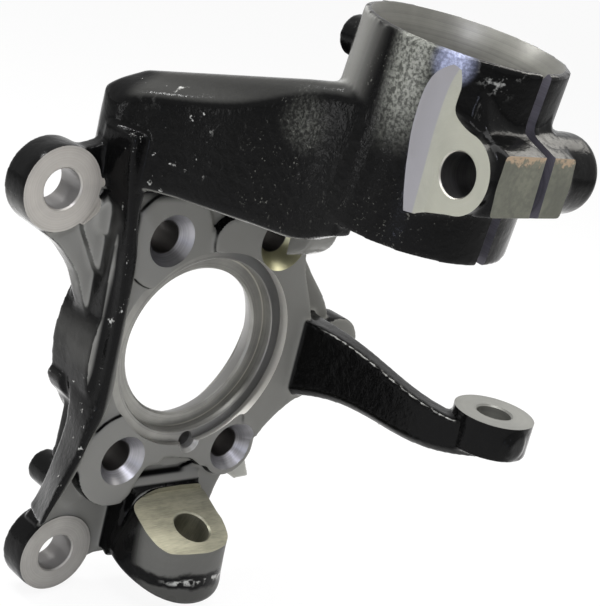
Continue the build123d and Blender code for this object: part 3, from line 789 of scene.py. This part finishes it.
    def cast(self) -> bpy.types.Object:
        """Rough casting: the frame's form with its stock, rounded all over.

        Returns:
            The object.
        """
        build = bmesh.new()
        build.from_mesh(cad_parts[NODE].data)
        bmesh.ops.remove_doubles(build, verts=build.verts, dist=1e-6)
        for solid in self.stock():
            part = bpy.data.meshes.new("stock")
            solid.to_mesh(part)
            solid.free()
            build.from_mesh(part)
            bpy.data.meshes.remove(part)
        body = mesh_object("knuckle_casting", build)
        remesh = body.modifiers.new("skin", "REMESH")
        remesh.mode = "VOXEL"
        remesh.voxel_size = self.voxel * MM
        smooth = body.modifiers.new("round", "SMOOTH")
        smooth.factor = 0.5
        smooth.iterations = self.rounding
        settle(body)
        faces = 2 * len(body.data.polygons)
        if faces > self.triangles:
            thin = body.modifiers.new("thin", "DECIMATE")
            thin.ratio = self.triangles / faces
            settle(body)
        LOG.info("cast skin: %d triangles before thinning", faces)
        return body

    def machine(self, body: bpy.types.Object, finishes: dict[Finish, bpy.types.Material]) -> None:
        """Cut the machined surfaces.

        Args:
            body: The rough casting.
            finishes: Material of each finish.
        """
        for finish in Finish:
            body.data.materials.append(finishes[finish])
        tools = [(finish, mesh_object(f"cutter_{k}", build)) for k, (finish, build) in enumerate(self.cutters())]
        tools.append((Finish.SEAT, self.bolt_cutter()))
        for finish, tool in tools:
            tool.data.materials.clear()
            for each in Finish:
                tool.data.materials.append(finishes[each])
            tool.data.polygons.foreach_set("material_index", [finish.value] * len(tool.data.polygons))
            cut = body.modifiers.new("cut", "BOOLEAN")
            cut.operation = "DIFFERENCE"
            cut.solver = "MANIFOLD"
            cut.object = tool
            settle(body)
            bpy.data.objects.remove(tool)
            LOG.info("after %s: %d faces", finish.name, len(body.data.polygons))
        body.data.polygons.foreach_set("use_smooth", [True] * len(body.data.polygons))
        body.data.set_sharp_from_angle(angle=radians(32))

    def build(self, finishes: dict[Finish, bpy.types.Material]) -> bpy.types.Object:
        body = self.cast()
        self.machine(body, finishes)
        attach(body, BODY)
        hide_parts(NODE)
        return body


# ---------------------------------------------------------------- studio
@dataclass
class Studio:
    """Camera, lamps, world and floor."""

    azimuth: float = -46.146
    elevation: float = 17.154
    roll: float = 14.348
    camera_mm: Spot = (-388.959, -421.277, 204.507)
    focal_px: float = 1544.744
    frame_px: tuple[int, int] = (600, 606)
    sensor: float = 36.0
    floor_gap: float = 2.0

    def camera(self) -> None:
        """Set the camera at the photo's viewpoint."""
        eye = bpy.data.cameras.new("portrait")
        eye.sensor_fit = "HORIZONTAL"
        eye.sensor_width = self.sensor
        eye.lens = self.focal_px * self.sensor / self.frame_px[0]
        eye.clip_start = 0.01
        holder = bpy.data.objects.new("portrait", eye)
        azimuth, elevation, roll = (radians(value) for value in (self.azimuth, self.elevation, self.roll))
        back = Vector((sin(azimuth) * cos(elevation), -cos(azimuth) * cos(elevation), sin(elevation)))
        right = Vector((cos(azimuth), sin(azimuth), 0.0))
        up = back.cross(right)
        level = Matrix((right, up, back)).transposed()
        turn = Matrix.Rotation(roll, 3, "Z")
        holder.matrix_world = Matrix.Translation(Vector(self.camera_mm) * MM) @ (level @ turn).to_4x4()
        bpy.context.scene.collection.objects.link(holder)
        bpy.context.scene.camera = holder

    def lamp(self, name: str, place: Spot, target: Spot, size: Point, power: float, colour: Spot = (1, 1, 1)) -> None:
        """Add a softbox.

        Args:
            name: Name of the lamp.
            place: Where it stands, in metres.
            target: What it faces.
            size: Width and height.
            power: Watts.
            colour: Tint.
        """
        light = bpy.data.lights.new(name, "AREA")
        light.shape = "RECTANGLE"
        light.size, light.size_y = size
        light.energy = power
        light.color = colour
        holder = bpy.data.objects.new(name, light)
        aimed = (Vector(place) - Vector(target)).to_track_quat("Z", "Y").to_matrix().to_4x4()
        holder.matrix_world = Matrix.Translation(Vector(place)) @ aimed
        bpy.context.scene.collection.objects.link(holder)

    def lamps(self) -> None:
        """Set the softboxes."""
        subject = (0.0, -0.03, 0.03)
        self.lamp("overhead", (-0.1, -0.1, 0.95), subject, (0.8, 0.8), 13.0)
        self.lamp("right_high", (0.57, 0.0, 0.7), subject, (0.4, 0.4), 4.0, (1.0, 0.97, 0.9))
        self.lamp("left_back", (-0.36, 0.42, 0.75), subject, (0.13, 0.13), 4.5)
        self.lamp("left_low", (-0.78, 0.34, 0.0), (-0.03, -0.06, 0.09), (0.07, 0.10), 0.25)
        self.lamp("left_strip", (-0.80, -0.06, 0.03), (-0.03, -0.09, 0.13), (0.16, 0.05), 0.5)
        self.lamp("blue_spot", (-0.57, -0.47, -0.02), (-0.02, -0.11, 0.13), (0.05, 0.06), 0.4, (0.72, 0.78, 1.0))
        self.lamp("flash", (-0.35, -0.42, 0.62), subject, (0.10, 0.10), 1.6, (0.85, 0.86, 1.0))

    def world(self) -> None:
        """White surroundings for the camera and for reflections, softer light on the object."""
        world = bpy.data.worlds.new("studio")
        world.use_nodes = True
        tree = world.node_tree
        tree.nodes.clear()
        path = tree.nodes.new("ShaderNodeLightPath")
        seen = None
        for key in ("Is Glossy Ray", "Is Transmission Ray"):
            peak = tree.nodes.new("ShaderNodeMath")
            peak.operation = "MAXIMUM"
            tree.links.new(seen or path.outputs["Is Camera Ray"], peak.inputs[0])
            tree.links.new(path.outputs[key], peak.inputs[1])
            seen = peak.outputs[0]
        level = tree.nodes.new("ShaderNodeMapRange")
        level.inputs["To Min"].default_value = 0.45
        level.inputs["To Max"].default_value = 1.0
        tree.links.new(seen, level.inputs["Value"])
        glow = tree.nodes.new("ShaderNodeBackground")
        glow.inputs["Color"].default_value = (1, 1, 1, 1)
        tree.links.new(level.outputs[0], glow.inputs["Strength"])
        out = tree.nodes.new("ShaderNodeOutputWorld")
        tree.links.new(glow.outputs[0], out.inputs["Surface"])
        bpy.context.scene.world = world

    def floor(self) -> None:
        """Lay a pale floor under the casting."""
        level = CAD_BOX[0][2] - self.floor_gap * MM
        sheet = mesh_object("floor", bmesh.new())
        build = bmesh.new()
        bmesh.ops.create_grid(build, x_segments=1, y_segments=1, size=25.0, matrix=Matrix.Translation((0, 0, level)))
        build.to_mesh(sheet.data)
        build.free()
        board = Board("pale_floor")
        path = board.node("ShaderNodeLightPath", {}, {})
        lit = board.out(path, "Is Camera Ray")
        board.drive(Base_Color=(0.9, 0.9, 0.9), Roughness=0.9, Emission_Color=(1.0, 1.0, 1.0), Specular_IOR_Level=0.0)
        board.shader.inputs["Emission Strength"].default_value = 0.0
        glow = board.node("ShaderNodeEmission", {}, {"Color": (1.0, 1.0, 1.0), "Strength": 1.0})
        mixed = board.node("ShaderNodeMixShader", {}, {0: lit * 0.92, 1: board.out(board.shader), 2: board.out(glow)})
        board.tree.links.new(mixed.outputs[0], board.output.inputs["Surface"])
        sheet.data.materials.append(board.material)

    def build(self) -> None:
        """Set up the whole studio."""
        self.camera()
        self.lamps()
        self.world()
        self.floor()
        bpy.context.scene.view_settings.view_transform = "Standard"


def finishes() -> dict[Finish, bpy.types.Material]:
    """Make the material of each finish."""
    lean = radians(5.0)
    tilt = radians(20.0)
    metals = {
        Finish.HUB: BareMetal("turned_hub", (0, 0, 0), colour=(0.25, 0.247, 0.225), dark=(0.10, 0.098, 0.092), metal=0.5,
                              side=True,
                              # On the +X side only: a painted shadow on the floor annulus under the land wall, a
                              # painted highlight line at the recess corner, a darker throat wall and a painted
                              # highlight on the land's inner wall.
                              zones=((37.5, 41.25, -0.6, 0.6, (0.075, 0.075, 0.074)),
                                     (36.2, 36.8, 4.5, 5.5, (0.42, 0.41, 0.35)),
                                     (30.0, 34.4, 6.2, 13.1, (0.15, 0.147, 0.14)),
                                     (41.0, 41.8, -6.0, -0.3, (0.40, 0.39, 0.36)))),
        Finish.SEAT: BareMetal("turned_bolt_seats", (27.6, 0, 45.5), folded=True, colour=(0.30, 0.297, 0.31),
                               dark=(0.15, 0.148, 0.155), edge_tint=(0.33, 0.32, 0.21),
                               # Painted shade down the bolt holes.
                               zones=((0.0, 6.65, -20.0, 60.0, (0.075, 0.07, 0.066)),)),
        Finish.EAR_TOP: BareMetal("faced_upper_ear", (-73.6, 0, 61.6), colour=(0.36, 0.34, 0.31),
                                  dark=(0.25, 0.24, 0.22), metal=0.4,
                                  # Painted shade down the ear hole.
                                  zones=((0.0, 7.75, 7.9, 60.0, (0.13, 0.125, 0.12)),)),
        Finish.EAR_LOW: BareMetal("faced_lower_ear", (-42.4, 0, -89.2), colour=(0.34, 0.33, 0.30),
                                  dark=(0.22, 0.21, 0.195), metal=0.4,
                                  # Painted shade down the ear hole.
                                  zones=((0.0, 7.75, 7.9, 60.0, (0.13, 0.125, 0.12)),)),
        Finish.STRUT: BareMetal("bored_strut_clamp", (3.2, -88.8, 149.0), (0.0, -sin(lean), cos(lean)),
                                colour=(0.15, 0.148, 0.13), dark=(0.075, 0.074, 0.066), rough=0.40, metal=0.5),
        Finish.SPOT: BareMetal("milled_spot_face", (-22.0, -120.6, 111.5), (1.0, 0.0, 0.0), colour=(0.27, 0.27, 0.22),
                               dark=(0.23, 0.23, 0.19), metal=0.2, rough=0.5,
                               zones=((0.0, 80.0, -40.0, -1.6, (0.205, 0.20, 0.205)),)),
        Finish.BLOCK: BareMetal("cast_block_front", (0.0, -134.2, 111.5), colour=(0.15, 0.15, 0.11),
                                dark=(0.055, 0.057, 0.042), metal=0.0, rough=0.6, lay=Lay.MILLED,
                                edge_tint=(0.30, 0.22, 0.14)),
        Finish.PINCH: BareMetal("drilled_pinch_hole", (-22.0, -120.6, 111.5), (1.0, 0.0, 0.0),
                                colour=(0.16, 0.155, 0.15), dark=(0.05, 0.05, 0.05),
                                # Painted glint on the mouth's chamfer.
                                zones=((7.3, 8.4, -0.6, 0.5, (0.30, 0.29, 0.25)),)),
        Finish.TIE: BareMetal("faced_tie_ring", (81.7, -86.0, 4.5), (0.0, 0.0, 1.0), colour=(0.20, 0.20, 0.18),
                              dark=(0.13, 0.13, 0.12), metal=0.4),
        Finish.BALL: BareMetal("milled_ball_seat", (0.0, -20.5, -69.0), (0.0, cos(tilt), sin(tilt)), Lay.MILLED,
                               colour=(0.34, 0.33, 0.25), dark=(0.15, 0.145, 0.11), metal=0.7),
        Finish.DRILLED: BareMetal("drilled_holes", (4.4, 0, -40.6), colour=(0.30, 0.295, 0.28), dark=(0.16, 0.16, 0.15),
                                    # Painted shade down the sensor hole.
                                    metal=0.4, zones=((0.0, 3.6, 2.0, 60.0, (0.07, 0.068, 0.065)),)),
        Finish.SAWN: BareMetal("sawn_slit", (4.0, -120.0, 110.0), (1.0, 0.0, 0.0), dark=(0.045, 0.042, 0.052),
                               colour=(0.10, 0.095, 0.115), metal=0.3, rough=0.5),
    }
    made = {finish: metal.material() for finish, metal in metals.items()}
    made[Finish.PAINT] = GlossPaint().material()
    return made


def main() -> None:
    """Build the casting and the studio."""
    logging.basicConfig(level=logging.INFO, format="%(name)s: %(message)s")
    body = Casting().build(finishes())
    LOG.info("%s: %d faces", body.name, len(body.data.polygons))
    Studio().build()


if __name__ == "__main__":
    main()
